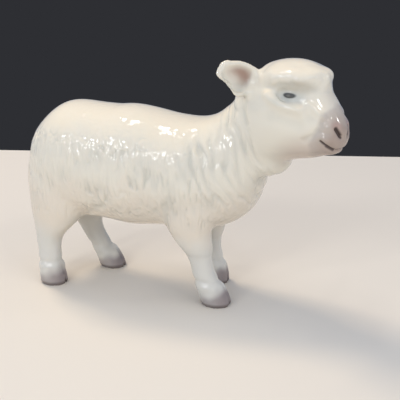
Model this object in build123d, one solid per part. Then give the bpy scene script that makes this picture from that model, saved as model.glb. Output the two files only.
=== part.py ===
"""Standing lamb figurine in glazed porcelain, modelled as the castings it is luted together from.

The trunk and the head are slip-cast shells, closed at the neck seat apart from a pierced air hole. The legs,
ears and tail are thin enough to fire solid. All seats are stuck with slip, so neighbours meet face to face.

Frame: origin at the middle of the figure's base, +X towards the head, +Y to the lamb's left, +Z up, in
millimetres. While it is built, X is measured from the middle of the stance, and the finished castings are
moved to the middle of the base at the end.
"""

import math
import os

from build123d import *

# Casting and finish
shell_wall = 2.6
air_hole_diameter = 3.0
air_hole_reach = 13.0
cut_overrun = 1.0
oval_points = 12
round_squareness = 2.0

# Trunk: rump, barrel, chest and neck, as one shell
trunk_length = 100.0
trunk_width = 39.6
back_height = 70.0
rump_x = -48.3
rump_tip_share = 0.67
trunk_squareness = 2.2
vent_place_share = 0.40

# Each row is one section: along and up at the back line, along and up at the belly line, and its width
trunk_shares = [
    (0.012, 0.745, 0.010, 0.560, 0.24),
    (0.032, 0.825, 0.028, 0.490, 0.46),
    (0.070, 0.900, 0.066, 0.430, 0.68),
    (0.120, 0.966, 0.120, 0.405, 0.84),
    (0.185, 1.006, 0.200, 0.392, 0.94),
    (0.270, 1.005, 0.270, 0.380, 0.98),
    (0.370, 1.000, 0.370, 0.372, 1.00),
    (0.523, 0.988, 0.523, 0.369, 0.98),
    (0.638, 0.964, 0.653, 0.379, 0.94),
    (0.703, 0.966, 0.763, 0.393, 0.89),
    (0.753, 0.987, 0.853, 0.447, 0.81),
    (0.793, 1.028, 0.913, 0.545, 0.74),
    (0.830, 1.076, 0.940, 0.657, 0.69),
    (0.880, 1.130, 0.970, 0.757, 0.62),
]
# The rows that the hollow follows
trunk_hollow_rows = slice(3, 12, 2)

# Neck seat: the flat face that the head is luted to, from the nape down to the throat
nape_along_share = 0.828
nape_up_share = 1.086
throat_along_share = 0.948
throat_up_share = 0.664

# Legs
front_seam_height = 22.0
hind_seam_height = 20.0
leg_height = 48.0
hoof_length = 11.8
hoof_width = 9.6
leg_squareness = 2.1
# Each row: height, lean from hoof to shoulder or hip, set-back of the hock, depth and width
front_leg_shares = [
    (0.000, 0.00, 0.0, 0.92, 0.94),
    (0.035, 0.02, 0.0, 0.99, 1.00),
    (0.090, 0.10, 0.0, 1.00, 0.98),
    (0.167, 0.26, 0.0, 0.88, 0.90),
    (0.245, 0.42, 0.0, 0.77, 0.82),
    (0.315, 0.51, 0.0, 0.75, 0.80),
    (0.385, 0.59, 0.0, 0.82, 0.86),
    (0.450, 0.70, 0.0, 1.00, 0.98),
    (0.530, 0.86, 0.0, 1.28, 1.16),
    (0.650, 0.97, 0.0, 1.60, 1.34),
    (0.820, 1.00, 0.0, 1.72, 1.38),
    (1.000, 1.00, 0.0, 1.30, 0.90),
]
hind_leg_shares = [
    (0.000, 0.00, 0.0, 0.88, 0.94),
    (0.035, 0.02, 0.1, 0.94, 1.00),
    (0.100, 0.08, 0.3, 0.92, 0.98),
    (0.180, 0.22, 0.6, 0.82, 0.88),
    (0.260, 0.38, 0.85, 0.80, 0.84),
    (0.340, 0.50, 1.0, 0.84, 0.88),
    (0.420, 0.64, 0.9, 1.02, 1.00),
    (0.520, 0.82, 0.4, 1.50, 1.20),
    (0.660, 0.99, 0.1, 1.90, 1.40),
    (0.830, 1.00, 0.0, 2.00, 1.40),
    (1.000, 1.00, 0.0, 1.60, 0.90),
]
shoulder_along_share = 0.678
hip_along_share = 0.153
front_right_stride = 10.8
front_left_stride = 4.0
hind_right_stride = -3.0
hind_left_stride = 11.8
hock_set_back = 3.0
# How far the middle of each leg is set in from the trunk's side
front_hoof_inset = 9.8
shoulder_inset = 9.2
hind_hoof_inset = 8.3
hip_inset = 9.4
cleft_width = 0.9
cleft_depth = 2.6
cleft_height = 6.5

# Head, built along its own axis from the middle of the neck seat, then turned towards the lamb's right
head_turn = 24.0
head_length = 37.4
head_width = 26.0
head_height = 44.1
head_squareness = 2.1
# Each row: distance along the head, top line and jaw line above the throat, width
head_shares = [
    (-0.420, 0.480, 0.120, 0.66),
    (-0.220, 0.620, 0.080, 0.76),
    (-0.086, 0.760, 0.040, 0.85),
    (0.053, 0.880, 0.030, 0.935),
    (0.187, 0.930, 0.090, 0.98),
    (0.320, 0.955, 0.165, 1.00),
    (0.455, 0.960, 0.221, 0.977),
    (0.560, 0.945, 0.252, 0.908),
    (0.670, 0.900, 0.273, 0.777),
    (0.775, 0.820, 0.300, 0.623),
    (0.866, 0.725, 0.328, 0.515),
    (0.933, 0.642, 0.348, 0.423),
    (0.979, 0.580, 0.395, 0.285),
]
nose_tip_share = 0.488
# The rows that the hollow follows
head_hollow_rows = slice(5, 10)

# Wool on the head: the cap over the poll, the roll across the brow and the ruff under the jaw
cap_along_share = 0.452
cap_length = 26.0
cap_width = 23.6
cap_crown = 7.0
cap_roll = 3.6
brow_along_share = 0.665
brow_up_share = 0.805
brow_length = 11.0
brow_width = 17.0
brow_height = 8.4
ruff_along_share = 0.200
ruff_up_share = 0.195
ruff_length = 15.0
ruff_width = 19.0
ruff_height = 12.4

# Eyes: a lens in a shallow socket
eye_along_share = 0.567
eye_out_share = 0.346
eye_up_share = 0.760
eye_length = 4.6
eye_breadth = 2.4
eye_height = 2.8
socket_length = 8.0
socket_breadth = 2.8
socket_height = 5.0
socket_set_out = 1.4

# Nostrils
nostril_along_share = 0.955
nostril_out_share = 0.118
nostril_up_share = 0.480
nostril_length = 2.6
nostril_width = 1.1
nostril_height = 3.0

# Ears: pressed leaves, the right one pricked and the left one hanging a little
ear_length = 14.0
ear_width = 12.0
ear_thickness = 4.2
ear_root_depth = 4.0
ear_along_share = 0.182
ear_out_share = 0.345
ear_up_share = 0.812
ear_sweep = 30.0
ear_turn = 82.0
right_ear_lift = 20.0
left_ear_lift = -10.0
# Each row: distance from root to tip, width, thickness
ear_leaf_shares = [
    (0.00, 0.86, 1.00),
    (0.25, 1.00, 0.92),
    (0.50, 0.95, 0.82),
    (0.75, 0.76, 0.66),
    (0.92, 0.46, 0.42),
]
ear_bowl_place_share = 0.42
ear_bowl_length_share = 0.46
ear_bowl_width_share = 0.38
ear_bowl_depth_share = 0.52
ear_bowl_lift_share = 0.44

# Tail, lying down the rump
tail_top_share = 0.885
tail_length = 43.0
tail_width = 7.0
tail_thickness = 5.6
# Each row: distance down the tail, place along the trunk, width, thickness
tail_shares = [
    (0.00, 0.110, 0.75, 0.90),
    (0.12, 0.066, 0.95, 1.00),
    (0.25, 0.024, 1.00, 1.00),
    (0.42, 0.004, 1.00, 1.00),
    (0.62, -0.002, 1.00, 1.00),
    (0.80, 0.004, 0.90, 0.95),
    (0.94, 0.012, 0.60, 0.70),
]
tail_tip_share = 0.014


def oval(plane, width, height, squareness):
    """A closed section on the plane: an ellipse that swells towards its corners as squareness goes past 2."""
    points = []
    for step in range(oval_points):
        turn = 2 * math.pi * step / oval_points
        across = math.copysign(abs(math.cos(turn)) ** (2 / squareness), math.cos(turn)) * width / 2
        up = math.copysign(abs(math.sin(turn)) ** (2 / squareness), math.sin(turn)) * height / 2
        points.append(plane.from_local_coords((across, up)))
    return Face(Wire([Spline(points, periodic=True)]))


def ellipsoid(length, width, height, poles=Rot(0, 0, 0)):
    """A ball stretched to its sizes. Poles turns its poles, from upright, clear of the edges that cuts leave."""
    return scale(poles * Sphere(1), by=(length / 2, width / 2, height / 2))


def upright_section(top, bottom, width, squareness, inset=0.0):
    """An oval that stands across the figure between a top point and a bottom point, given as (x, z)."""
    rise = Vector(top[0] - bottom[0], 0, top[1] - bottom[1])
    up = rise.normalized()
    middle = Vector((top[0] + bottom[0]) / 2, 0, (top[1] + bottom[1]) / 2)
    plane = Plane(origin=middle, x_dir=(0, 1, 0), z_dir=(up.Z, 0, -up.X))
    return oval(plane, width - 2 * inset, rise.length - 2 * inset, squareness)


def trunk_place(along_share, up_share):
    return (rump_x + along_share * trunk_length, up_share * back_height)


def trunk_section(row, inset=0.0):
    back_x, back_z, belly_x, belly_z, width = row
    top = trunk_place(back_x, back_z)
    bottom = trunk_place(belly_x, belly_z)
    return upright_section(top, bottom, width * trunk_width, trunk_squareness, inset)


nape_x, nape_z = trunk_place(nape_along_share, nape_up_share)
throat_x, throat_z = trunk_place(throat_along_share, throat_up_share)
neck_rise = Vector(nape_x - throat_x, 0, nape_z - throat_z).normalized()
neck_seat = Plane(
    origin=((nape_x + throat_x) / 2, 0, (nape_z + throat_z) / 2),
    x_dir=(0, 1, 0),
    z_dir=(neck_rise.Z, 0, -neck_rise.X),
)
head_placing = Pos(neck_seat.origin.X, 0, 0) * Rot(0, 0, -head_turn)


def head_place(along_share, out_share, up_share):
    return (along_share * head_length, out_share * head_width, throat_z + up_share * head_height)


def head_section(row, inset=0.0):
    along, top, jaw, width = row
    x = along * head_length
    top_point = (x, throat_z + top * head_height)
    jaw_point = (x, throat_z + jaw * head_height)
    return upright_section(top_point, jaw_point, width * head_width, head_squareness, inset)


def head_casting():
    """Skull and muzzle as one loft, with the wool cap and ruff, the eyes and the nostrils worked into it."""
    tip = Vertex(head_length, 0, throat_z + nose_tip_share * head_height)
    head = loft([head_section(row) for row in head_shares] + [tip])
    crown = ellipsoid(cap_length, cap_width, 2 * cap_crown)
    roll = ellipsoid(cap_length, cap_width, 2 * cap_roll)
    cap_middle = Pos(cap_along_share * head_length, 0, throat_z + head_height - cap_crown)
    head += cap_middle * split(crown, bisect_by=Plane.XY, keep=Keep.TOP)
    head += cap_middle * split(roll, bisect_by=Plane.XY, keep=Keep.BOTTOM)
    brow = ellipsoid(brow_length, brow_width, brow_height)
    head += Pos(head_place(brow_along_share, 0, brow_up_share)) * brow
    ruff = ellipsoid(ruff_length, ruff_width, ruff_height)
    head += Pos(head_place(ruff_along_share, 0, ruff_up_share)) * ruff
    poles_across = Rot(90, 0, 0)
    for side in (-1, 1):
        eye = Pos(head_place(eye_along_share, side * eye_out_share, eye_up_share))
        socket = Pos(0, side * socket_set_out, 0)
        head -= eye * socket * ellipsoid(socket_length, socket_breadth, socket_height, poles_across)
        head += eye * ellipsoid(eye_length, eye_breadth, eye_height, poles_across)
        nostril = Pos(head_place(nostril_along_share, side * nostril_out_share, nostril_up_share))
        head -= nostril * ellipsoid(nostril_length, nostril_width, nostril_height, poles_across)
    return head


def leg_casting(shares, hoof, top, set_back):
    """A whole leg from the hoof at (x, y) to its top inside the trunk, as a loft through level ovals."""
    hoof_x, hoof_y = hoof
    top_x, top_y = top
    sections = []
    for height, lean, hock, depth, width in shares:
        x = hoof_x + lean * (top_x - hoof_x) - hock * set_back
        y = hoof_y + lean * (top_y - hoof_y)
        level = Plane(origin=(x, y, height * leg_height))
        sections.append(oval(level, depth * hoof_length, width * hoof_width, leg_squareness))
    leg = loft(sections)
    toe_x = hoof_x + hoof_length / 2
    wedge = Polyline(
        (toe_x + cut_overrun, -cut_overrun),
        (toe_x - cleft_depth, -cut_overrun),
        (toe_x + cut_overrun, cleft_height),
        close=True,
    )
    cleft = extrude(Plane.XZ * make_face(wedge), amount=cleft_width / 2, both=True)
    return leg - Pos(0, hoof_y, 0) * cleft


def ear_casting():
    """A thick leaf along +X from its root, its width along Y, with a bowl pressed into its +Z side."""
    root = Plane(origin=(-ear_root_depth, 0, 0), x_dir=(0, 1, 0), z_dir=(1, 0, 0))
    root_width, root_thickness = ear_leaf_shares[0][1:]
    sections = [oval(root, root_width * ear_width, root_thickness * ear_thickness, round_squareness)]
    for along, width, thickness in ear_leaf_shares:
        across = Plane(origin=(along * ear_length, 0, 0), x_dir=(0, 1, 0), z_dir=(1, 0, 0))
        sections.append(oval(across, width * ear_width, thickness * ear_thickness, round_squareness))
    leaf = loft(sections + [Vertex(ear_length, 0, 0)])
    bowl = ellipsoid(
        2 * ear_bowl_length_share * ear_length,
        2 * ear_bowl_width_share * ear_width,
        2 * ear_bowl_depth_share * ear_thickness,
    )
    return leaf - Pos(ear_bowl_place_share * ear_length, 0, ear_bowl_lift_share * ear_thickness) * bowl


def right_ear_placing(lift):
    root = Pos(head_place(ear_along_share, -ear_out_share, ear_up_share))
    return root * Rot(0, 0, -90 - ear_sweep) * Rot(0, -lift, 0) * Rot(-ear_turn, 0, 0)


def tail_casting():
    sections = []
    for down, along, width, thickness in tail_shares:
        x, top_z = trunk_place(along, tail_top_share)
        level = Plane(origin=(x, 0, top_z - down * tail_length))
        sections.append(oval(level, thickness * tail_thickness, width * tail_width, round_squareness))
    tip_x, top_z = trunk_place(tail_tip_share, tail_top_share)
    return loft(sections + [Vertex(tip_x, 0, top_z - tail_length)])


# Trunk shell before the legs are stuck on
rump_tip = Vertex(rump_x, 0, rump_tip_share * back_height)
trunk = loft([rump_tip] + [trunk_section(row) for row in trunk_shares])
trunk = split(trunk, bisect_by=neck_seat, keep=Keep.BOTTOM)
trunk_hollow = loft([trunk_section(row, shell_wall) for row in trunk_shares[trunk_hollow_rows]])

# Legs: each is cut level, and its upper part belongs to the trunk as shoulder or thigh
shoulder_x, ground = trunk_place(shoulder_along_share, 0)
hip_x, ground = trunk_place(hip_along_share, 0)
legs = {}
for side_name, side, front_stride, hind_stride in (
    ("right", -1, front_right_stride, hind_right_stride),
    ("left", 1, front_left_stride, hind_left_stride),
):
    front_hoof = (shoulder_x + front_stride, side * (trunk_width / 2 - front_hoof_inset))
    shoulder = (shoulder_x, side * (trunk_width / 2 - shoulder_inset))
    front_leg = leg_casting(front_leg_shares, front_hoof, shoulder, 0)
    hind_hoof = (hip_x + hind_stride, side * (trunk_width / 2 - hind_hoof_inset))
    hip = (hip_x, side * (trunk_width / 2 - hip_inset))
    hind_leg = leg_casting(hind_leg_shares, hind_hoof, hip, hock_set_back)
    front_seam = Plane.XY.offset(front_seam_height)
    hind_seam = Plane.XY.offset(hind_seam_height)
    legs[f"front_{side_name}_leg"] = split(front_leg, bisect_by=front_seam, keep=Keep.BOTTOM)
    legs[f"hind_{side_name}_leg"] = split(hind_leg, bisect_by=hind_seam, keep=Keep.BOTTOM)
    trunk += split(front_leg, bisect_by=front_seam, keep=Keep.TOP)
    trunk += split(hind_leg, bisect_by=hind_seam, keep=Keep.TOP)

# Holes that let the air out in the kiln: one through the neck seat and one up through the belly
air_hole = neck_seat.location * Cylinder(air_hole_diameter / 2, 2 * air_hole_reach)
vent_x, vent_top = trunk_place(vent_place_share, throat_up_share)
vent = Pos(vent_x, 0, vent_top / 2) * Cylinder(air_hole_diameter / 2, vent_top)
torso = trunk - trunk_hollow - air_hole - vent

head = split(head_placing * head_casting(), bisect_by=neck_seat, keep=Keep.TOP)
right_ear = head_placing * right_ear_placing(right_ear_lift) * ear_casting() - head
left_ear = head_placing * mirror(right_ear_placing(left_ear_lift) * ear_casting(), about=Plane.XZ) - head
head_hollow = loft([head_section(row, shell_wall) for row in head_shares[head_hollow_rows]])
head = head - head_placing * head_hollow - air_hole
tail = tail_casting() - trunk

castings = {"torso": torso, "head": head, "right_ear": right_ear, "left_ear": left_ear, "tail": tail, **legs}
figure_box = Compound([solid for shape in castings.values() for solid in shape.solids()]).bounding_box()
to_base_middle = Pos(-figure_box.center().X, -figure_box.center().Y, 0)

os.makedirs("parts", exist_ok=True)
for name, shape in castings.items():
    export_step(Compound((to_base_middle * shape).solids()), f"parts/{name}.step")
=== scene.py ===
import math

import bmesh
import bpy
import numpy as np
from mathutils import Matrix, Vector, noise


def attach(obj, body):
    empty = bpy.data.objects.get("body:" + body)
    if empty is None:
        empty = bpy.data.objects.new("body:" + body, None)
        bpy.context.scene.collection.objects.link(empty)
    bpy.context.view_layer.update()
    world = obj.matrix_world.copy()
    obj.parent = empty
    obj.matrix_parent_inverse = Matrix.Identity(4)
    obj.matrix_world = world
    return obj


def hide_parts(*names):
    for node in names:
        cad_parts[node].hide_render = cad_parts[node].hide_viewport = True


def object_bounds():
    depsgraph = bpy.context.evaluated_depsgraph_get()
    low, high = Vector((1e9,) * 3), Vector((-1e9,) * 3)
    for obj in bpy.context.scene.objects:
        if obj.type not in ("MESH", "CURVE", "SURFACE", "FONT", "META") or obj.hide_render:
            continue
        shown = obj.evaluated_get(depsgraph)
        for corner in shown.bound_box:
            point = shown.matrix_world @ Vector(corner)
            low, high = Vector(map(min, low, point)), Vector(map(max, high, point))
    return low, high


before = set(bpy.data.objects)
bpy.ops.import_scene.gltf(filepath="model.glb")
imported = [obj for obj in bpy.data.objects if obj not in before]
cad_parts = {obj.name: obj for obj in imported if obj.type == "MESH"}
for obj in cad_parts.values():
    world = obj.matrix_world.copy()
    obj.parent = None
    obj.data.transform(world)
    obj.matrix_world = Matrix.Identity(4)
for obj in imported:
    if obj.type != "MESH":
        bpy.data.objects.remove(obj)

cad_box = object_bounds()

# Camera: a phone held a little above the lamb, off its right side and a quarter ahead of it. Its place and
# lens were solved from the four hoof soles and the figure's outline.
camera_place = Vector((0.09670, -0.25618, 0.12407))
camera_aim = Vector((0.01413, -0.01638, 0.04167))
camera_data = bpy.data.cameras.new("camera")
camera_data.sensor_width = 36.0
camera_data.lens = 69.12
camera_data.clip_start = 0.005
camera = bpy.data.objects.new("camera", camera_data)
camera.location = camera_place
camera.rotation_euler = (camera_aim - camera_place).to_track_quat("-Z", "Y").to_euler()
bpy.context.scene.collection.objects.link(camera)
bpy.context.scene.camera = camera
bpy.context.scene.view_settings.view_transform = "Standard"


# Table: a wide sheet of pale card, smooth and matt, laid flat. It ends a little behind the lamb, where a
# plain dark backdrop shows over its edge and sets off the white glaze.
def linear(hex_colour):
    """An sRGB hex colour as linear RGBA."""
    channels = [int(hex_colour[i : i + 2], 16) / 255 for i in (1, 3, 5)]
    return [c / 12.92 if c <= 0.04045 else ((c + 0.055) / 1.055) ** 2.4 for c in channels] + [1.0]


def add_node(tree, kind, settings=None, inputs=None):
    """Adds a node, sets its settings, and gives each input a value or links it to an output."""
    node = tree.nodes.new(kind)
    for name, value in (settings or {}).items():
        setattr(node, name, value)
    for name, value in (inputs or {}).items():
        if isinstance(value, bpy.types.NodeSocket):
            tree.links.new(value, node.inputs[name])
        else:
            node.inputs[name].default_value = value
    return node


def new_material(name):
    """A material of that name with nothing but its output, as (material, tree, output)."""
    material = bpy.data.materials.new(name)
    material.use_nodes = True
    tree = material.node_tree
    tree.nodes.clear()
    return material, tree, add_node(tree, "ShaderNodeOutputMaterial")


table_colour = "#E2DACD"
table_size = 3.0
table_edge_middle = (0.0, 0.212)
table_turn = math.radians(15.0)
# Uncoated card scatters light evenly and shows no gloss
table_material, tree, output = new_material("matt_card")
shader = add_node(
    tree, "ShaderNodeBsdfPrincipled", inputs={"Base Color": linear(table_colour), "Roughness": 0.6}
)
tree.links.new(shader.outputs["BSDF"], output.inputs["Surface"])
bm = bmesh.new()
bmesh.ops.create_grid(bm, x_segments=2, y_segments=2, size=table_size / 2)
bmesh.ops.translate(bm, vec=(0, -table_size / 2, 0), verts=bm.verts)
bmesh.ops.rotate(bm, matrix=Matrix.Rotation(table_turn, 3, "Z"), verts=bm.verts)
bmesh.ops.translate(bm, vec=(*table_edge_middle, 0), verts=bm.verts)
table_mesh = bpy.data.meshes.new("table")
bm.to_mesh(table_mesh)
bm.free()
table_mesh.materials.append(table_material)
table = bpy.data.objects.new("table", table_mesh)
bpy.context.scene.collection.objects.link(table)

# Light: a soft window high behind the lamb on its tail side, two weaker lights on the camera's side, and an
# even blue-grey room. Eight small bright panes are what the glaze mirrors as its glints. The three over the
# back hang flat, and every other lamp is turned to the lamb.
backdrop_colour, room_colour = "#2E2F33", "#7F8BA0"
backdrop_strength, room_strength, mirrored_room_strength = 1.0, 1.49, 0.9
lamp_aim = Vector((0, 0, 0.04))
world = bpy.data.worlds.new("room")
bpy.context.scene.world = world
world.use_nodes = True
tree = world.node_tree
tree.nodes.clear()
output = add_node(tree, "ShaderNodeOutputWorld")
ray = add_node(tree, "ShaderNodeLightPath")
room = add_node(
    tree, "ShaderNodeBackground", inputs={"Color": linear(room_colour), "Strength": room_strength}
)
for rays, colour, strength in (
    ("Is Glossy Ray", room_colour, mirrored_room_strength),
    ("Is Camera Ray", backdrop_colour, backdrop_strength),
):
    seen = add_node(tree, "ShaderNodeBackground", inputs={"Color": linear(colour), "Strength": strength})
    room = add_node(
        tree, "ShaderNodeMixShader", inputs={0: ray.outputs[rays], 1: room.outputs[0], 2: seen.outputs[0]}
    )
tree.links.new(room.outputs[0], output.inputs["Surface"])
for name, place, size, watts, colour, mirrored in (
    ("window", (-0.42, 0.22, 0.70), (0.20, 0.15), 3.1, "#FFEBCF", False),
    ("fill", (0.05, -0.85, 0.45), (0.60, 0.50), 1.6, "#FFF9EE", False),
    ("head_fill", (0.75, -0.25, 0.40), (0.40, 0.40), 1.4, "#FFF4E8", False),
    ("back_far_left_pane", (-0.325, 0.10, 0.93), (0.035, 0.16), 0.30, "#FFFFFF", True),
    ("back_left_pane", (-0.168, 0.026, 0.93), (0.05, 0.16), 0.42, "#FFFFFF", True),
    ("back_right_pane", (-0.190, -0.134, 0.93), (0.03, 0.12), 0.30, "#FFFFFF", True),
    ("cheek_pane", (-0.145, -0.765, 0.527), (0.14, 0.12), 0.65, "#FFFFFF", True),
    ("near_left_pane", (-0.39, -0.67, 0.46), (0.06, 0.11), 0.65, "#FFFFFF", True),
    ("near_low_pane", (-0.22, -0.80, 0.30), (0.05, 0.10), 0.60, "#FFFFFF", True),
    ("near_right_pane", (0.455, -0.418, 0.697), (0.06, 0.06), 0.40, "#FFFFFF", True),
    ("far_right_pane", (0.75, 0.13, 0.50), (0.06, 0.06), 0.35, "#FFFFFF", True),
):
    lamp_data = bpy.data.lights.new(name, "AREA")
    lamp_data.shape = "RECTANGLE"
    lamp_data.size, lamp_data.size_y = size
    lamp_data.energy = watts
    lamp_data.color = linear(colour)[:3]
    lamp = bpy.data.objects.new(name, lamp_data)
    lamp.visible_glossy = mirrored
    lamp.location = place
    if not name.startswith("back"):
        lamp.rotation_euler = (lamp_aim - Vector(place)).to_track_quat("-Z", "Y").to_euler()
    bpy.context.scene.collection.objects.link(lamp)

# Green figure: porcelain castings fresh from their plaster moulds. All but the tail are luted together with
# slip at flat seats and wiped with a wet sponge until no joint shows, so they are worked here as one skin.
# Everything from here to the firing is in millimetres.
millimetre = 0.001
skin_grain = 0.43
neck_seat_middle = np.array([28.40, -0.05, 61.25])
neck_seat_normal = np.array([0.926, 0.0, 0.377])
neck_joint_band, neck_joint_reach = 4.0, 26.0
head_pivot = np.array([28.40, -0.05])
head_turn = math.radians(24.0)
vent_x = -20.4
vent_plug_bottom, vent_plug_top, vent_plug_radius = 27.6, 50.0, 2.4
leg_top_start, leg_top_end = (22, 28), (40, 46)
shoulder_start, hip_end = (-14, -6), (-34, -26)
eye_middle = (21.9, 10.3, 80.2)
firm_press, light_press = 0.6, 0.5


def casting_copy(bm, name):
    """Adds a copy of a CAD casting, its loose triangles merged, to the bmesh in millimetres."""
    part = bmesh.new()
    part.from_mesh(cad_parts[name].data)
    bmesh.ops.remove_doubles(part, verts=part.verts, dist=1e-7)
    bmesh.ops.scale(part, vec=(1 / millimetre,) * 3, verts=part.verts)
    merged = bpy.data.meshes.new("casting_copy")
    part.to_mesh(merged)
    part.free()
    bm.from_mesh(merged)
    bpy.data.meshes.remove(merged)


def in_clay(bm, grain):
    """The outside of everything in the bmesh as one even skin of small squares, without hollows."""
    mesh = bpy.data.meshes.new("clay")
    bm.to_mesh(mesh)
    bm.free()
    clay = bpy.data.objects.new("clay", mesh)
    bpy.context.scene.collection.objects.link(clay)
    remesh = clay.modifiers.new("remesh", "REMESH")
    remesh.mode = "VOXEL"
    remesh.voxel_size = grain
    evaluated = clay.evaluated_get(bpy.context.evaluated_depsgraph_get())
    skin = bmesh.new()
    skin.from_mesh(bpy.data.meshes.new_from_object(evaluated))
    bpy.data.objects.remove(clay)
    keep_largest_shell(skin)
    return skin


def keep_largest_shell(bm):
    """Drops every separate shell but the one with the most points."""
    left, shells = set(bm.verts), []
    while left:
        shell, front = set(), [left.pop()]
        while front:
            vert = front.pop()
            shell.add(vert)
            for edge in vert.link_edges:
                other = edge.other_vert(vert)
                if other in left:
                    left.discard(other)
                    front.append(other)
        shells.append(shell)
    largest = max(shells, key=len)
    bmesh.ops.delete(bm, geom=[v for v in bm.verts if v not in largest], context="VERTS")


def points_of(bm):
    """Every point's place, one row each."""
    return np.array([v.co[:] for v in bm.verts])


def put_back(bm, points):
    """Moves every point to its row."""
    for vert, point in zip(bm.verts, points.tolist()):
        vert.co = point


def wipe(bm, strength, rounds):
    """Wipes the clay smooth where strength is over 0: each point moves to the mean of its neighbours."""
    bm.verts.index_update()
    edges = np.array([(e.verts[0].index, e.verts[1].index) for e in bm.edges])
    touched = strength > 0.01
    first, second = edges[touched[edges].any(axis=1)].T
    points = points_of(bm)
    count = len(points)
    neighbours = np.maximum(np.bincount(first, minlength=count) + np.bincount(second, minlength=count), 1)
    pull = (strength * touched)[:, None]
    for _ in range(rounds):
        total = np.stack(
            [
                np.bincount(first, weights=points[second, axis], minlength=count)
                + np.bincount(second, weights=points[first, axis], minlength=count)
                for axis in range(3)
            ],
            axis=1,
        )
        points += pull * (total / neighbours[:, None] - points)
    put_back(bm, points)


def ball(points, centre, radii):
    """1 at the centre, falling smoothly to 0 about one and a half radii away."""
    return np.exp(-((((points - np.array(centre)) / np.array(radii)) ** 2).sum(axis=1)))


def ramp(values, start, end):
    """0 before start, 1 after end, and smooth between."""
    share = np.clip((values - start) / (end - start), 0, 1)
    return share * share * (3 - 2 * share)


def in_head_frame(points):
    """Distance along the head from the neck's axis, distance out to either side, and height."""
    flat = points[:, :2] - head_pivot
    along = flat[:, 0] * math.cos(head_turn) - flat[:, 1] * math.sin(head_turn)
    left = flat[:, 0] * math.sin(head_turn) + flat[:, 1] * math.cos(head_turn)
    return np.stack([along, np.abs(left), points[:, 2]], axis=1)


bm = bmesh.new()
for name in sorted(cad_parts):
    if name != "tail":
        casting_copy(bm, name)
# The belly's vent is stopped with a plug, so that the skin doesn't run up through it into the hollow
bmesh.ops.create_cone(
    bm,
    cap_ends=True,
    segments=24,
    radius1=vent_plug_radius,
    radius2=vent_plug_radius,
    depth=vent_plug_top - vent_plug_bottom,
    matrix=Matrix.Translation((vent_x, 0, (vent_plug_bottom + vent_plug_top) / 2)),
)
skin = in_clay(bm, skin_grain)

off_seat = points_of(skin) - neck_seat_middle
neck_joint = np.exp(-(((off_seat @ neck_seat_normal) / neck_joint_band) ** 2))
neck_joint *= np.linalg.norm(off_seat, axis=1) < neck_joint_reach
wipe(skin, firm_press * neck_joint, rounds=110)
for middle, radii, press, rounds in (
    ((9.0, 0.0, 55.0), (9.0, 12.0, 8.0), firm_press, 60),  # ruff under the jaw
    ((27.0, 0.0, 81.0), (5.0, 10.0, 5.0), light_press, 25),  # brow
    ((6.8, 9.0, 82.3), (5.5, 4.5, 6.0), light_press, 30),  # ears' roots
):
    wipe(skin, press * ball(in_head_frame(points_of(skin)), middle, radii), rounds)
x, y, z = points_of(skin).T
leg_tops = ramp(z, *leg_top_start) * (1 - ramp(z, *leg_top_end))
shoulders = leg_tops * ramp(x, *shoulder_start)
hips = leg_tops * (1 - ramp(x, *hip_end))
wipe(skin, firm_press * np.maximum(shoulders, hips), rounds=60)
wipe(skin, firm_press * ball(in_head_frame(points_of(skin)), eye_middle, (7.0, 5.0, 5.0)), rounds=25)
wipe(skin, np.full(len(skin.verts), light_press), rounds=4)

# Face and ears before carving: they take the finest tool marks, so their skin is worked at half the grain.
# An ear is a leaf with a frame of its own: X from root to tip, Y to its lower edge, and Z out of its bowl.
ear_root = (6.8, 8.97, 82.3)
ear_swing, ear_roll = math.radians(-120.0), math.radians(-82.0)
ear_fine_out, ear_fine_reach = 8.0, 9.0
face_start, sponged_start = 16.0, 5.0
ear_frames = {}
for name, side, lift in (("right_ear", -1, 20.0), ("left_ear", 1, -10.0)):
    turn = (
        Matrix.Rotation(ear_swing, 3, "Z")
        @ Matrix.Rotation(math.radians(-lift), 3, "Y")
        @ Matrix.Rotation(ear_roll, 3, "X")
    )
    if side > 0:
        turn = Matrix.Scale(-1, 3, (0, 1, 0)) @ turn
    turn = Matrix.Rotation(-head_turn, 3, "Z") @ turn
    root = Matrix.Rotation(-head_turn, 3, "Z") @ Vector((ear_root[0], side * ear_root[1], 0))
    root += Vector((head_pivot[0], head_pivot[1], ear_root[2]))
    ear_frames[name] = (root, turn)
middles = np.array([f.calc_center_median()[:] for f in skin.faces])
fine = in_head_frame(middles)[:, 0] > face_start
for root, turn in ear_frames.values():
    leaf_middle = np.array(root + ear_fine_out * turn.col[0])
    fine |= np.linalg.norm(middles - leaf_middle, axis=1) < ear_fine_reach
fine_edges = {e for f, wanted in zip(skin.faces, fine) if wanted for e in f.edges}
bmesh.ops.subdivide_edges(skin, edges=list(fine_edges), cuts=1, use_grid_fill=True)
wipe(skin, light_press * (in_head_frame(points_of(skin))[:, 0] > sponged_start), rounds=3)

# Fleece: carved into the model before its moulds were made, so the porcelain has it too. It is short upright
# locks on the flank and long curved ones round the neck, and the back is left nearly smooth.
lock_depth, flank_lump_depth, back_lump_height = 0.46, 0.30, 0.16
neck_lock_depth, neck_lock_pitch = 0.88, 3.7
flank_start, neck_fleece_start = (26, 34), (33, 42)
trunk_end, neck_start, neck_end = (-18, -8), (-27, -15), (2.0, 8.0)
elbow = [(0.9, 14.0, 30.0), (0.7, 15.6, 34.0), (1.6, 16.9, 37.5), (2.8, 17.8, 40.9)]
stifle = [(-32.6, 10.7, 29.4), (-29.0, 14.1, 32.5), (-26.0, 15.8, 34.6), (-23.1, 16.8, 35.5)]
thigh = [(-42.0, 16.5, 33.0), (-36.0, 17.0, 37.0)]


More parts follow.
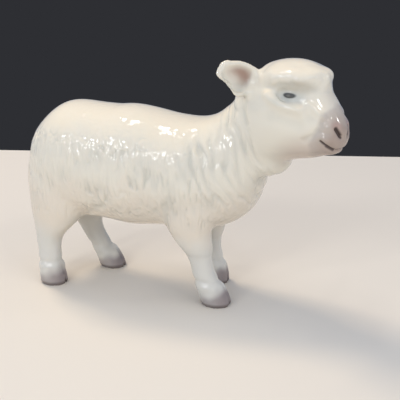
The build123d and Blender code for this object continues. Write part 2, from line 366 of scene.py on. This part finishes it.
def near_path(points, path, radius):
    """1 on the line through the path's points, falling smoothly to 0 about one and a half radii away."""
    best = np.full(len(points), np.inf)
    for start, end in zip(path, path[1:]):
        start, end = np.array(start, float), np.array(end, float)
        along = np.clip(((points - start) @ (end - start)) / ((end - start) @ (end - start)), 0, 1)
        best = np.minimum(best, ((points - start - along[:, None] * (end - start)) ** 2).sum(axis=1))
    return np.exp(-best / radius**2)


def grain_noise(points, lengths, seed):
    """Smooth noise from -1 to 1, whose lumps measure about lengths along X, Y and Z."""
    shift = Vector((17.3 * seed, 5.9 * seed, 11.1 * seed))
    scale = Vector((1 / lengths[0], 1 / lengths[1], 1 / lengths[2]))
    return np.array([noise.noise(Vector(p) * scale + shift) for p in points.tolist()])


def normals_of(bm):
    """The way the skin faces at every point, one row each."""
    bm.normal_update()
    return np.array([v.normal[:] for v in bm.verts])


def note(bm, layer, amounts):
    """Keeps one amount for every point in the layer, for its paint to read."""
    for vert, amount in zip(bm.verts, amounts):
        vert[layer] = float(amount)


def carve(bm, rise, layer=None):
    """Moves each point out along the skin by rise, and adds it up in the layer for pooled glaze and painted
    shade.
    """
    put_back(bm, points_of(bm) + rise[:, None] * normals_of(bm))
    if layer is not None:
        note(bm, layer, [vert[layer] + float(amount) for vert, amount in zip(bm.verts, rise)])


depth_layer = skin.verts.layers.float.new("fleece_depth")
fleece_layer = skin.verts.layers.float.new("fleece_share")
points, normals = points_of(skin), normals_of(skin)
x, y, z = points.T
upward = normals[:, 2]
seat_side = (points - neck_seat_middle) @ neck_seat_normal
trunk = 1 - ramp(seat_side, *trunk_end)
flank = ramp(z, *flank_start) * trunk * (1.06 - 0.96 * ramp(upward, 0.30, 0.62)) * ramp(upward, -0.95, -0.5)
# Flank locks 2.2 mm wide and 6.5 mm long with finer ones in them, cut deeper in patches and parted in places
patches = 0.35 + 1.1 * np.clip(grain_noise(points, (13.0, 13.0, 8.0), 9) + 0.25, 0, 1)
locks = grain_noise(points, (2.2, 2.2, 6.5), 1) + 0.6 * grain_noise(points, (1.4, 1.4, 4.2), 2)
lumps = grain_noise(points, (8.0, 8.0, 8.0), 3)
partings = np.clip(0.20 - np.abs(grain_noise(points, (2.0, 2.0, 11.0), 12)), 0, 1) / 0.20
partings *= ramp(grain_noise(points, (4.5, 4.5, 4.5), 13), -0.10, 0.20)
fleece = flank * lock_depth * patches * (0.7 * locks - 0.3 - 1.1 * partings)
fleece += flank * flank_lump_depth * (lumps - 0.4)
# Neck locks hang along the seat, one behind the other, each bent its own way and scored with strands
bend = 2.4 * grain_noise(points, (9.0, 9.0, 12.0), 4) + 0.9 * grain_noise(points, (4.0, 4.0, 6.0), 5)
neck = ramp(seat_side, *neck_start) * (1 - ramp(seat_side, *neck_end)) * ramp(z, *neck_fleece_start)
neck *= 1 - ramp(upward, 0.45, 0.85)
neck *= 0.55 + 0.6 * np.clip(grain_noise(points, (7.0, 7.0, 9.0), 6) + 0.3, 0, 1)
curl = np.abs(np.sin(np.pi * (seat_side + bend) / neck_lock_pitch))
strands = np.abs(grain_noise(np.stack([seat_side + 0.6 * bend, y, z], axis=1), (2.6, 8.0, 11.0), 10))
fleece += neck * neck_lock_depth * (0.7 * (curl - 1.0) - 1.3 * np.clip(0.34 - strands, 0, 1))
# Creases at the elbow and the stifle, and the swell of the thigh
either_side = np.stack([x, np.abs(y), z], axis=1)
for path, rise, radius in ((elbow, -0.55, 1.5), (stifle, -0.45, 1.5), (thigh, 0.35, 5.0)):
    fleece += rise * near_path(either_side, path, radius)
fleece += back_lump_height * trunk * ramp(upward, 0.2, 0.6) * grain_noise(points, (10.0, 10.0, 10.0), 23)
carve(skin, fleece, depth_layer)
note(skin, fleece_layer, np.maximum(flank, neck))

# Face: cast with the head and sharpened on the leather-hard clay with a small tool, alike on both sides.
# Strokes run along a line, pads are pressed in or laid on at a spot, and all places are in the head's frame.
brow_hollow = [(15.5, 11.5, 82.8), (21.5, 10.7, 83.3), (25.5, 8.8, 83.2), (28.5, 5.0, 82.8)]
forehead_hollow = [(28.5, 5.0, 82.8), (29.3, 0.0, 82.6)]
lid_ridge = [(15.0, 11.7, 81.1), (18.5, 11.0, 81.7), (22.0, 10.6, 81.9), (25.2, 9.4, 81.6)]
lid_crease = [(19.8, 10.9, 80.7), (22.2, 10.6, 81.3), (24.6, 9.8, 80.6)]
cheekbone = [
    (14.5, 11.9, 80.0), (16.8, 12.1, 78.8), (19.2, 12.1, 77.6), (22.9, 11.1, 76.7), (26.0, 9.4, 76.0)
]
cheek_hollow = [(17.0, 12.5, 73.6), (22.0, 11.8, 72.4), (26.5, 9.8, 71.2)]
nose_edge = [(28.2, 7.7, 78.4), (30.9, 6.8, 75.8), (33.0, 5.4, 73.8)]
tear_trough = [(25.0, 9.6, 78.6), (27.6, 8.8, 75.6), (30.0, 7.6, 73.2)]
muzzle_step = [(33.8, 5.0, 74.2), (32.7, 6.3, 72.6), (31.7, 6.9, 70.4), (30.1, 7.4, 68.0), (27.4, 8.2, 66.2)]
jaw_line = [(6.6, 12.4, 79.2), (5.3, 11.8, 75.6), (5.7, 12.1, 73.0), (7.4, 12.6, 69.5)]
nostril = [(36.2, 3.4, 70.4), (36.7, 2.9, 69.3), (37.1, 2.3, 68.3), (37.3, 1.8, 67.5)]
nostril_fold = [(32.0, 6.8, 69.4), (34.6, 5.4, 69.2)]
lip_parting = [(37.6, 0.0, 68.0), (36.9, 0.0, 64.4)]
mouth = [(32.5, 6.5, 66.4), (34.0, 5.0, 64.8), (35.3, 3.1, 63.5), (36.0, 1.6, 63.1), (36.3, 0.0, 63.1)]
cap_edge_start, cap_edge_end, cap_edge_front = (83.2, 86.2), (86.0, 89.6), (10.0, 15.0)
fringe_start, fringe_end, fringe_front = (81.8, 83.6), (85.0, 88.0), (8.0, 12.0)
cap_lock_start, cap_lock_end, cap_lock_front = (81.5, 84.5), (88.5, 90.4), (6, 12)
face_back = (9, 12)
line_layer = skin.verts.layers.float.new("painted_line")
points = points_of(skin)
head_points = in_head_frame(points)
along, _, height = head_points.T
# The wool cap stands proud of the face with a scalloped edge and a fringe below it
scallops = grain_noise(points, (2.8, 2.8, 3.4), 11)
cap_edge = ramp(height + 1.3 * scallops, *cap_edge_start) * (1 - ramp(height, *cap_edge_end))
cap_fringe = scallops * ramp(height, *fringe_start) * (1 - ramp(height, *fringe_end))
face_rise = 0.60 * cap_edge * ramp(along, *cap_edge_front) + 0.27 * cap_fringe * ramp(along, *fringe_front)
for path, rise, radius in (
    (brow_hollow, -0.60, 2.2),
    (forehead_hollow, -0.20, 2.2),
    (lid_ridge, 0.30, 0.8),
    (lid_crease, -0.35, 0.55),
    (cheekbone, 1.05, 1.6),
    (cheek_hollow, -0.40, 2.6),
    (nose_edge, 0.55, 1.0),
    (tear_trough, -0.30, 1.5),
    (muzzle_step, -0.50, 1.1),
    (nostril, -0.70, 0.6),
    (nostril[:3], -0.60, 0.9),
    (nostril_fold, -0.25, 1.0),
    (lip_parting, -0.12, 0.6),
    (mouth, -0.75, 0.65),
):
    face_rise += rise * near_path(head_points, path, radius)
for middle, radii, rise in (
    ((29.5, 0.0, 85.5), (4.0, 7.0, 3.2), 0.7),  # forelock
    ((23.0, 10.8, 79.2), (3.6, 4.0, 1.8), -0.45),  # eye socket
    (eye_middle, (2.2, 2.0, 1.0), 0.55),  # eyeball
    ((35.0, 5.0, 70.8), (1.5, 1.6, 2.0), 0.40),  # wing of the nostril
    ((33.8, 5.8, 66.9), (3.0, 3.2, 1.5), 0.50),  # upper lip
    ((33.6, 4.0, 61.6), (2.6, 3.4, 1.6), 0.35),  # chin
):
    face_rise += rise * ball(head_points, middle, radii)
# Small dabs under the eye and at the jaw's root break the glaze's mirror image into glints
dabs = grain_noise(points, (2.6, 2.6, 2.2), 14)
face_rise += 0.17 * dabs * ball(head_points, (25.0, 9.0, 77.0), (9.0, 6.0, 4.0))
face_rise += 0.20 * dabs * ball(head_points, (11.0, 12.0, 75.5), (5.0, 5.0, 4.0))
face_rise *= ramp(along, *face_back)
face_rise -= 0.45 * near_path(head_points, jaw_line, 1.0)
cap_locks = grain_noise(points, (4.2, 4.2, 5.0), 7)
cap_locks *= ramp(height, *cap_lock_start) * (1 - ramp(height, *cap_lock_end))
face_rise += 0.30 * ramp(along, *cap_lock_front) * (cap_locks - 0.2 * ramp(height, 82.5, 85.5))
carve(skin, face_rise, depth_layer)
painted = np.zeros(len(points))
for path, radius, share in (
    (nostril, 0.60, 1.0),
    (nostril[:3], 1.05, 1.0),
    (mouth[:3], 0.62, 1.0),
    (mouth[1:3], 0.88, 1.0),
    (mouth, 0.5, 0.6),
):
    painted = np.maximum(painted, share * near_path(head_points, path, radius))
note(skin, line_layer, painted)

# Hooves: cast with the legs, two toes each with a coronet above them, and a cuff where the fleece ends over
# each foreleg's knee. Their colour is sprayed on, with a soft uneven edge that climbs towards the toes.
hoof_middles = {
    "front_right_leg": (18.2, -10.05),
    "front_left_leg": (11.4, 9.95),
    "hind_right_leg": (-48.1, -11.55),
    "hind_left_leg": (-33.3, 11.45),
}
hoof_reach = 11.0
shank_top, cuff_start, cuff_end, foreleg_start = (24, 30), (18.4, 20.8), (22, 28), (-10, -5)
toe_start, toe_top = (0.0, 2.0), (6.5, 9.0)
pastern_crease, coronet, sole_rim = (9.4, 1.0, -0.34), (7.2, 1.4, 0.30), (0.9, 0.7, 0.18)
toe_cleft_depth, toe_cleft_half_width = 0.55, 0.6
hoof_paint_top, hoof_paint_fade = 4.9, 2.4
sole_height = 0.35
hoof_layer = skin.verts.layers.float.new("hoof_paint")
points = points_of(skin)
x, y, z = points.T
hoof_rise = 0.16 * grain_noise(points, (3.0, 3.0, 4.0), 8) - 0.2
hoof_rise += 0.30 * ramp(z, *cuff_start) * (1 - ramp(z, *cuff_end)) * ramp(x, *foreleg_start)
for height, half_width, rise in (pastern_crease, coronet, sole_rim):
    hoof_rise += rise * np.exp(-(((z - height) / half_width) ** 2))
uneven = 1.6 * grain_noise(points, (3.5, 3.5, 3.5), 22)
hoof_paint = np.zeros(len(points))
for hoof_x, hoof_y in hoof_middles.values():
    own = np.hypot(x - hoof_x, y - hoof_y) < hoof_reach
    forward = x - hoof_x
    toes = own * ramp(forward, *toe_start) * (1 - ramp(z, *toe_top))
    hoof_rise -= toe_cleft_depth * toes * np.exp(-(((y - hoof_y) / toe_cleft_half_width) ** 2))
    edge = hoof_paint_top + 0.35 * forward + uneven
    coat = (1 - ramp(z - edge, -hoof_paint_fade, hoof_paint_fade)) * (0.75 + 0.25 * ramp(forward, -1.0, 5.0))
    hoof_paint = np.maximum(hoof_paint, own * coat)
note(skin, hoof_layer, hoof_paint)
carve(skin, (1 - ramp(z, *shank_top)) * hoof_rise)
for vert in skin.verts:
    if vert.co.z < sole_height:
        vert.co.z = 0.0

# Ears: solid leaves, pressed with a shallow bowl, folded a little along the lower side, and trimmed to a
# point with a fettling knife. Their pink is sprayed into the bowl and fades out over its rim; it is darkened
# there with painted shade, and the bowl and folds take the grey painted shade of the hollows too.
bowls = (((3.4, -0.4, 1.0), (2.8, 3.4, 2.0), -1.1), ((7.0, 0.8, 1.0), (3.6, 3.4, 2.0), -0.4))
folds = ([(3.5, 1.6, 0.6), (9.5, 2.4, 0.6)], [(3.5, 3.2, 0.9), (8.5, 4.2, 0.9)])
fold_depth, fold_radius, fold_end = 0.50, 0.7, (3.2, 4.6)
leaf_start, leaf_middle_out, leaf_reach, bowl_side = (0.5, 2.5), 7.0, 10.0, (-0.9, 0.2)
pink_middle, pink_radii = (5.2, -1.0, 0.0), (4.3, 2.8, 3.0)
lower_trim, tip_trim, root_spread = 1.5, 0.6, 0.6
pink_layer = skin.verts.layers.float.new("ear_pink")


def on_ear(points, root, turn):
    """Each point's place in the ear's own frame, and 1 on its leaf, fading to 0 at its root."""
    local = (points - np.array(root)) @ np.array(turn)
    within = np.linalg.norm(local - [leaf_middle_out, 0, 0], axis=1) < leaf_reach
    return local, ramp(local[:, 0], *leaf_start) * within


points = points_of(skin)
ear_rise, pinks = np.zeros(len(points)), np.zeros(len(points))
for root, turn in ear_frames.values():
    local, leaf = on_ear(points, root, turn)
    inside = leaf * ramp(local[:, 2], *bowl_side)
    for middle, radii, rise in bowls:
        ear_rise += rise * inside * ball(local, middle, radii)
    for fold in folds:
        crease = near_path(local, fold, fold_radius) * (1 - ramp(local[:, 1], *fold_end))
        ear_rise -= fold_depth * inside * crease
    pinks += inside * ball(local, pink_middle, pink_radii)
carve(skin, ear_rise, depth_layer)
note(skin, pink_layer, pinks)
for root, turn in ear_frames.values():
    points = points_of(skin)
    local, leaf = on_ear(points, root, turn)
    out, down, _ = local.T
    trim = -lower_trim * ramp(out, 6.6, 9.6) * ramp(down, 0.5, 4.0)
    trim -= tip_trim * ramp(out, 9.5, 12.0) * ramp(-down, 0.3, 2.5)
    trim += root_spread * ramp(out, 2.0, 4.5) * (1 - ramp(out, 5.5, 7.5)) * ramp(down, 2.0, 5.0)
    put_back(skin, points + (leaf * trim)[:, None] * np.array(turn)[:, 1])

# Parting: the figure comes apart again at the luted seats, one closed piece for each porcelain casting. The
# skin is first held to the castings' own box, and each point keeps the way the whole skin faces there, so
# that the glaze runs on across each seat.
low_corner, high_corner = (np.array(corner) / millimetre for corner in cad_box)
put_back(skin, np.clip(points_of(skin), low_corner, high_corner))
skin_facing_layer = skin.verts.layers.float_vector.new("skin_facing")
skin.normal_update()
for vert in skin.verts:
    vert[skin_facing_layer] = vert.normal
owner_layer = skin.faces.layers.int.new("owner")
owners = ["torso"]
seat_face = -1
seat_tolerance = 1e-4


def part_off(name, seed, place, outward, reach):
    """Cuts the skin on a plane near the seed, and gives name the faces past it that hang together there."""
    seed, place, outward = Vector(seed), Vector(place), Vector(outward).normalized()
    near = [f for f in skin.faces if (f.calc_center_median() - seed).length < reach and not f[owner_layer]]
    geom = list({v for f in near for v in f.verts}) + list({e for f in near for e in f.edges}) + near
    bmesh.ops.bisect_plane(skin, geom=geom, dist=seat_tolerance, plane_co=place, plane_no=outward)
    owners.append(name)
    number = len(owners) - 1
    unowned = [f for f in skin.faces if not f[owner_layer]]
    front = [min(unowned, key=lambda f: (f.calc_center_median() - seed).length)]
    front[0][owner_layer] = number
    while front:
        for edge in front.pop().edges:
            for other in edge.link_faces:
                past = (other.calc_center_median() - place).dot(outward) > seat_tolerance
                if past and not other[owner_layer]:
                    other[owner_layer] = number
                    front.append(other)


def fired(name, material):
    """One casting's share of the skin as a closed and glazed piece in metres, in for its CAD casting."""
    part = skin.copy()
    number = owners.index(name)
    layer = part.faces.layers.int["owner"]
    bmesh.ops.delete(part, geom=[f for f in part.faces if f[layer] != number], context="FACES")
    cut = [e for e in part.edges if e.is_boundary]
    caps = bmesh.ops.holes_fill(part, edges=cut, sides=0)["faces"]
    for cap in caps:
        cap[layer] = seat_face
    bmesh.ops.triangulate(part, faces=caps)
    mesh = in_metres(part, name)
    face_as_skin(mesh)
    stand_in(name, mesh, material)


def in_metres(part, name):
    """The part as a smooth mesh in metres."""
    bmesh.ops.scale(part, vec=(millimetre,) * 3, verts=part.verts)
    mesh = bpy.data.meshes.new(name + "_glazed")
    part.to_mesh(mesh)
    part.free()
    for polygon in mesh.polygons:
        polygon.use_smooth = True
    return mesh


def face_as_skin(mesh):
    """Shades the mesh the way the whole skin faced, and its seats flat."""
    facing = np.zeros(len(mesh.vertices) * 3, np.float32)
    mesh.attributes["skin_facing"].data.foreach_get("vector", facing)
    owner = np.zeros(len(mesh.polygons), np.int32)
    mesh.attributes["owner"].data.foreach_get("value", owner)
    corners = np.zeros(len(mesh.loops), np.int32)
    mesh.loops.foreach_get("vertex_index", corners)
    corner_facing = facing.reshape(-1, 3)[corners]
    for index in np.nonzero(owner == seat_face)[0]:
        polygon = mesh.polygons[int(index)]
        for loop in polygon.loop_indices:
            corner_facing[loop] = polygon.normal
    length = np.linalg.norm(corner_facing, axis=1, keepdims=True)
    mesh.normals_split_custom_set((corner_facing / np.maximum(length, 1e-9)).tolist())
    mesh.attributes.remove(mesh.attributes["skin_facing"])
    mesh.attributes.remove(mesh.attributes["owner"])


def stand_in(name, mesh, material):
    """Puts the finished mesh in the scene in place of its CAD casting."""
    mesh.materials.append(material)
    piece = bpy.data.objects.new(name + "_glazed", mesh)
    bpy.context.scene.collection.objects.link(piece)
    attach(piece, "root")
    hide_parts(name)


# Legs: cast solid and luted to the stumps under the trunk. Their porcelain has the body's tints under a
# clear gloss glaze, mauve-grey hooves, strongest at the toes, and a dark line round each sole.
front_seam_height, hind_seam_height, leg_reach = 22.0, 20.0, 34.0
shank_colour, belly_colour, flank_colour = "#D3D1C9", "#DDD4C5", "#E0DBCD"
# The back's cream is a warm glaze tint with painted warm light from above
cream_and_top_light_colour, glaze_pool_and_shade_colour = "#EADFC9", "#B8BAB2"
hoof_colour, sole_edge_colour = "#8F8584", "#655B58"


def porcelain(name, paint=None):
    """Soft-paste porcelain under a dipped coat of clear gloss glaze, with the piece's own paint under it.

    The eye sees a white that glows a little at thin edges, with sharp glints over it. The tint is cool on
    the shanks and warms to cream on the back, where the cream is partly painted warm light from above. It
    greys where the glaze pools in the fleece and other hollows, partly as painted shade, all without hard
    edges. paint takes the tree, the place and the colour so far, and gives the painted colour.
    """
    material, tree, output = new_material(name)
    place = add_node(tree, "ShaderNodeTexCoord").outputs["Object"]
    height = add_node(tree, "ShaderNodeSeparateXYZ", inputs={0: place}).outputs["Z"]
    # Cloudy drift of the tints, in lumps of about 14 mm
    cloud = add_node(
        tree, "ShaderNodeTexNoise", inputs={"Vector": place, "Scale": 1 / 0.014, "Detail": 2.0}
    ).outputs["Fac"]
    drift = add_node(
        tree, "ShaderNodeMath", {"operation": "MULTIPLY_ADD"}, {0: cloud, 1: 0.020, 2: height}
    ).outputs[0]
    belly = add_node(
        tree, "ShaderNodeMapRange", {"interpolation_type": "SMOOTHSTEP"}, {0: drift, 1: 0.024, 2: 0.040}
    ).outputs[0]
    flank = add_node(
        tree, "ShaderNodeMapRange", {"interpolation_type": "SMOOTHSTEP"}, {0: drift, 1: 0.044, 2: 0.060}
    ).outputs[0]
    # Cream where the skin faces up, on the upper half of the figure: a warm glaze tint with painted warm
    # light from above
    facing = add_node(tree, "ShaderNodeTexCoord").outputs["Normal"]
    upward = add_node(tree, "ShaderNodeSeparateXYZ", inputs={0: facing}).outputs["Z"]
    upward = add_node(
        tree, "ShaderNodeMath", {"operation": "MULTIPLY_ADD"}, {0: cloud, 1: 0.5, 2: upward}
    ).outputs[0]
    back = add_node(
        tree, "ShaderNodeMapRange", {"interpolation_type": "SMOOTHSTEP"}, {0: upward, 1: 0.45, 2: 1.20}
    ).outputs[0]
    back = add_node(tree, "ShaderNodeMath", {"operation": "MULTIPLY"}, {0: back, 1: flank}).outputs[0]
    # Glaze pools, greyed with painted shade, from 0.10 mm down to the deepest cuts, 0.85 mm down
    sunk = add_node(tree, "ShaderNodeAttribute", {"attribute_name": "fleece_depth"}).outputs["Fac"]
    pool_and_shade = add_node(
        tree,
        "ShaderNodeMapRange",
        {"interpolation_type": "SMOOTHSTEP"},
        {0: sunk, 1: -0.10, 2: -0.85, 4: 0.38},
    ).outputs[0]
    colour = linear(shank_colour)
    for amount, tint in (
        (belly, belly_colour),
        (flank, flank_colour),
        (back, cream_and_top_light_colour),
        # Grey of the pooling glaze, with painted shade in the hollows
        (pool_and_shade, glaze_pool_and_shade_colour),
    ):
        colour = add_node(
            tree, "ShaderNodeMix", {"data_type": "RGBA"}, {0: amount, 6: colour, 7: linear(tint)}
        ).outputs[2]
    if paint:
        colour = paint(tree, place, colour)
    # The finest strokes of the fleece, 1.3 mm apart and 7.5 mm long, show through the glaze
    combed = add_node(
        tree, "ShaderNodeMapping", inputs={"Vector": place, "Scale": (1 / 0.0013, 1 / 0.0013, 1 / 0.0075)}
    ).outputs[0]
    strokes = add_node(
        tree, "ShaderNodeTexNoise", inputs={"Vector": combed, "Scale": 1.0, "Detail": 1.0}
    ).outputs["Fac"]
    fleece_share = add_node(tree, "ShaderNodeAttribute", {"attribute_name": "fleece_share"}).outputs["Fac"]
    strokes = add_node(
        tree, "ShaderNodeMath", {"operation": "MULTIPLY"}, {0: strokes, 1: fleece_share}
    ).outputs[0]
    combed_bump = add_node(
        tree, "ShaderNodeBump", inputs={"Strength": 0.8, "Distance": 0.00045, "Height": strokes}
    ).outputs[0]
    # The glaze itself lies a little unevenly, in waves of about 2 mm
    wave = add_node(
        tree, "ShaderNodeTexNoise", inputs={"Vector": place, "Scale": 1 / 0.002, "Detail": 1.0}
    ).outputs["Fac"]
    glaze_bump = add_node(
        tree,
        "ShaderNodeBump",
        inputs={"Strength": 0.25, "Distance": 0.00004, "Height": wave, "Normal": combed_bump},
    ).outputs[0]
    shader = add_node(
        tree,
        "ShaderNodeBsdfPrincipled",
        inputs={
            "Base Color": colour,
            "Roughness": 0.06,
            "IOR": 1.5,
            "Subsurface Weight": 0.12,
            "Subsurface Radius": (1.0, 0.85, 0.7),
            "Subsurface Scale": 0.0012,
            "Normal": glaze_bump,
        },
    )
    tree.links.new(shader.outputs["BSDF"], output.inputs["Surface"])
    return material


def hoof_painted(tree, place, colour):
    """Hoof colour where the brush left it, and the sole's dark line from 0.8 mm up, gone at 1.8 mm."""
    hoof = add_node(tree, "ShaderNodeAttribute", {"attribute_name": "hoof_paint"}).outputs["Fac"]
    height = add_node(tree, "ShaderNodeSeparateXYZ", inputs={0: place}).outputs["Z"]
    sole_edge = add_node(
        tree,
        "ShaderNodeMapRange",
        {"interpolation_type": "SMOOTHSTEP"},
        {0: height, 1: 0.0018, 2: 0.0008, 4: 0.75},
    ).outputs[0]
    for amount, paint in ((hoof, hoof_colour), (sole_edge, sole_edge_colour)):
        colour = add_node(
            tree, "ShaderNodeMix", {"data_type": "RGBA"}, {0: amount, 6: colour, 7: linear(paint)}
        ).outputs[2]
    return colour


leg_glaze = porcelain("hoof_glazed_porcelain", hoof_painted)
for name, (hoof_x, hoof_y) in hoof_middles.items():
    seam_height = front_seam_height if name.startswith("front") else hind_seam_height
    part_off(name, (hoof_x, hoof_y, 0), (0, 0, seam_height), (0, 0, -1), leg_reach)
    fired(name, leg_glaze)

# Ears, fired: luted to flats at the sides of the skull. Their glazed porcelain is the body's, with a warm
# brown-pink sprayed into the bowl and darkened there with painted shade. The left one's wiped joint is
# wider, so it is parted further out.
ear_seats_out = {"right_ear": 4.5, "left_ear": 7.2}
ear_tip_out, ear_reach = 12.5, 11.0
# Brown-pink paint, darkened with painted shade in the bowl
ear_pink_and_shade_colour = "#9D8072"


def ear_painted(tree, place, colour):
    """The ear's pink, darkened with painted shade in the bowl, over the colour, as thick as the bowl's
    attribute says.
    """
    pink = add_node(tree, "ShaderNodeAttribute", {"attribute_name": "ear_pink"}).outputs["Fac"]
    pink = add_node(
        tree, "ShaderNodeMapRange", {"interpolation_type": "SMOOTHSTEP"}, {0: pink, 1: 0.05, 2: 0.9, 4: 0.95}
    ).outputs[0]
    return add_node(
        tree, "ShaderNodeMix", {"data_type": "RGBA"}, {0: pink, 6: colour, 7: linear(ear_pink_and_shade_colour)}
    ).outputs[2]


ear_glaze = porcelain("pink_glazed_porcelain", ear_painted)
for name, (root, turn) in ear_frames.items():
    along = turn.col[0]
    part_off(name, root + ear_tip_out * along, root + ear_seats_out[name] * along, along, ear_reach)
    fired(name, ear_glaze)

# Head: a hollow casting luted to the slanting seat of the neck, of the same glazed porcelain. Its muzzle and
# nose bridge are sprayed with soft edges, painted shade lies in the eye sockets and under the cap and the
# jaw, and its nostrils, mouth and eyes are drawn with a brush. The places are in the head's frame, alike on
# both sides.
muzzle_middle_out, muzzle_middle_height, head_reach = 37.0, 68.0, 62.0
# The jaw, eye socket and under-cap colours are painted shade; the others are paint
bridge_colour, jaw_shade_colour, muzzle_colour = "#B9B4B2", "#C4B6AA", "#9C897E"
nose_colour, line_colour = "#B1928A", "#453836"
eye_ring_colour, eye_middle_colour, socket_shade_colour = "#3E4042", "#7B7C75", "#B7BDBB"
under_cap_shade_colour, muzzle_edge_colour = "#BBB6A8", "#A79C98"


def head_painted(tree, place, colour):
    """The head's paints and painted shade over the colour, in the order in which they are laid on."""
    pivot = Vector((head_pivot[0], head_pivot[1], 0)) * millimetre
    in_head = add_node(
        tree,
        "ShaderNodeMapping",
        inputs={
            "Vector": place,
            "Rotation": (0, 0, head_turn),
            "Location": -(Matrix.Rotation(head_turn, 3, "Z") @ pivot),
        },
    ).outputs[0]
    parts = add_node(tree, "ShaderNodeSeparateXYZ", inputs={0: in_head})
    outward = add_node(tree, "ShaderNodeMath", {"operation": "ABSOLUTE"}, {0: parts.outputs["Y"]}).outputs[0]
    either_side = add_node(
        tree,
        "ShaderNodeCombineXYZ",
        inputs={"X": parts.outputs["X"], "Y": outward, "Z": parts.outputs["Z"]},
    ).outputs[0]
    # The muzzle's paint starts on a slant plane, whose edge wanders with the spray in lumps of 6 mm
    spray = add_node(
        tree, "ShaderNodeTexNoise", inputs={"Vector": place, "Scale": 1 / 0.006, "Detail": 2.0}
    ).outputs["Fac"]
    lean = add_node(
        tree, "ShaderNodeVectorMath", {"operation": "DOT_PRODUCT"}, {0: in_head, 1: (1.0, 0.0, -0.35)}
    ).outputs["Value"]
    lean = add_node(
        tree, "ShaderNodeMath", {"operation": "MULTIPLY_ADD"}, {0: spray, 1: 0.003, 2: lean}
    ).outputs[0]
    muzzle = add_node(tree, "ShaderNodeMapRange", inputs={0: lean, 1: 0.0078, 2: 0.0140, 4: 0.76}).outputs[0]
    muzzle_edge = add_node(
        tree,
        "ShaderNodeMapRange",
        {"interpolation_type": "SMOOTHSTEP"},
        {0: lean, 1: 0.0066, 2: 0.0084, 4: 0.45},
    ).outputs[0]
    line = add_node(tree, "ShaderNodeAttribute", {"attribute_name": "painted_line"}).outputs["Fac"]
    line = add_node(
        tree,
        "ShaderNodeMapRange",
        {"interpolation_type": "SMOOTHSTEP"},
        {0: line, 1: 0.30, 2: 0.85, 4: 0.92},
    ).outputs[0]

    def around(middle, radii, inner, outer, strength):
        """Strength within inner radii of the middle, on both sides of the head, and 0 past outer radii."""
        off = add_node(
            tree,
            "ShaderNodeVectorMath",
            {"operation": "SUBTRACT"},
            {0: either_side, 1: [c * millimetre for c in middle]},
        ).outputs[0]
        off = add_node(
            tree,
            "ShaderNodeVectorMath",
            {"operation": "DIVIDE"},
            {0: off, 1: [r * millimetre for r in radii]},
        ).outputs[0]
        length = add_node(tree, "ShaderNodeVectorMath", {"operation": "LENGTH"}, {0: off}).outputs["Value"]
        return add_node(
            tree,
            "ShaderNodeMapRange",
            {"interpolation_type": "SMOOTHSTEP"},
            {0: length, 1: outer, 2: inner, 4: strength},
        ).outputs[0]

    for amount, paint in (
        # Painted shade: cool grey in the eye sockets, then warm grey under the cap's overhang
        (around((22.0, 10.4, 79.8), (6.5, 9.0, 3.2), 0.2, 1.2, 0.75), socket_shade_colour),
        (around((24.5, 9.0, 83.0), (9.0, 6.0, 2.6), 0.3, 1.2, 0.85), under_cap_shade_colour),
        (around((31.5, 0.0, 77.0), (7.0, 4.8, 6.0), 0.2, 1.2, 0.30), bridge_colour),
        # Painted shade under the jaw, in a warm grey
        (around((25.0, 0.0, 60.5), (13.0, 13.0, 11.0), 0.4, 1.2, 0.9), jaw_shade_colour),
        (muzzle_edge, muzzle_edge_colour),
        (muzzle, muzzle_colour),
        (around((37.0, 3.6, 71.6), (2.6, 2.6, 2.4), 0.2, 1.2, 0.7), nose_colour),
        (line, line_colour),
        (around(eye_middle, (2.4, 5.0, 0.95), 0.7, 1.15, 0.92), eye_ring_colour),
        (around((21.7, 10.4, 80.2), (0.9, 5.0, 0.5), 0.3, 1.2, 0.5), eye_middle_colour),
    ):
        colour = add_node(
            tree, "ShaderNodeMix", {"data_type": "RGBA"}, {0: amount, 6: colour, 7: linear(paint)}
        ).outputs[2]
    return ear_painted(tree, place, colour)


head_forward = Vector((math.cos(head_turn), -math.sin(head_turn), 0))
muzzle_middle = Vector((*head_pivot, muzzle_middle_height)) + muzzle_middle_out * head_forward
part_off("head", muzzle_middle, neck_seat_middle.tolist(), neck_seat_normal.tolist(), head_reach)
fired("head", porcelain("painted_glazed_porcelain", head_painted))

# Torso: what is left of the skin, a hollow porcelain casting from rump to neck with the four leg stumps. It
# has no paint but the body's own tints under the clear gloss glaze, with painted warm light on its back and
# painted shade in its fleece.
trunk_glaze = porcelain("glazed_porcelain")
fired("torso", trunk_glaze)

# Tail: a woolly rope of the same glazed porcelain, pressed solid in a mould of its own, carved with long
# strands between its smooth root and tip, and stuck down the rump with slip.
tail_grain = 0.30
tail_strand_depth, tail_lump_depth = 1.6, 0.25
tail_wool_start, tail_wool_end = (19.5, 22.0), (50.0, 54.0)
bm = bmesh.new()
casting_copy(bm, "tail")
tail = in_clay(bm, tail_grain)
wipe(tail, np.full(len(tail.verts), light_press), rounds=6)
tail_depth_layer = tail.verts.layers.float.new("fleece_depth")
tail_fleece_layer = tail.verts.layers.float.new("fleece_share")
points = points_of(tail)
height = points[:, 2]
strands = np.abs(grain_noise(points, (2.2, 2.2, 9.0), 20))
lumps = grain_noise(points, (5.0, 5.0, 6.0), 21)
wool = tail_lump_depth * (lumps - 0.5) - tail_strand_depth * np.clip(0.28 - strands, 0, 1)
wool *= ramp(height, *tail_wool_start) * (1 - ramp(height, *tail_wool_end))
carve(tail, wool, tail_depth_layer)
note(tail, tail_fleece_layer, np.ones(len(points)))
stand_in("tail", in_metres(tail, "tail"), trunk_glaze)
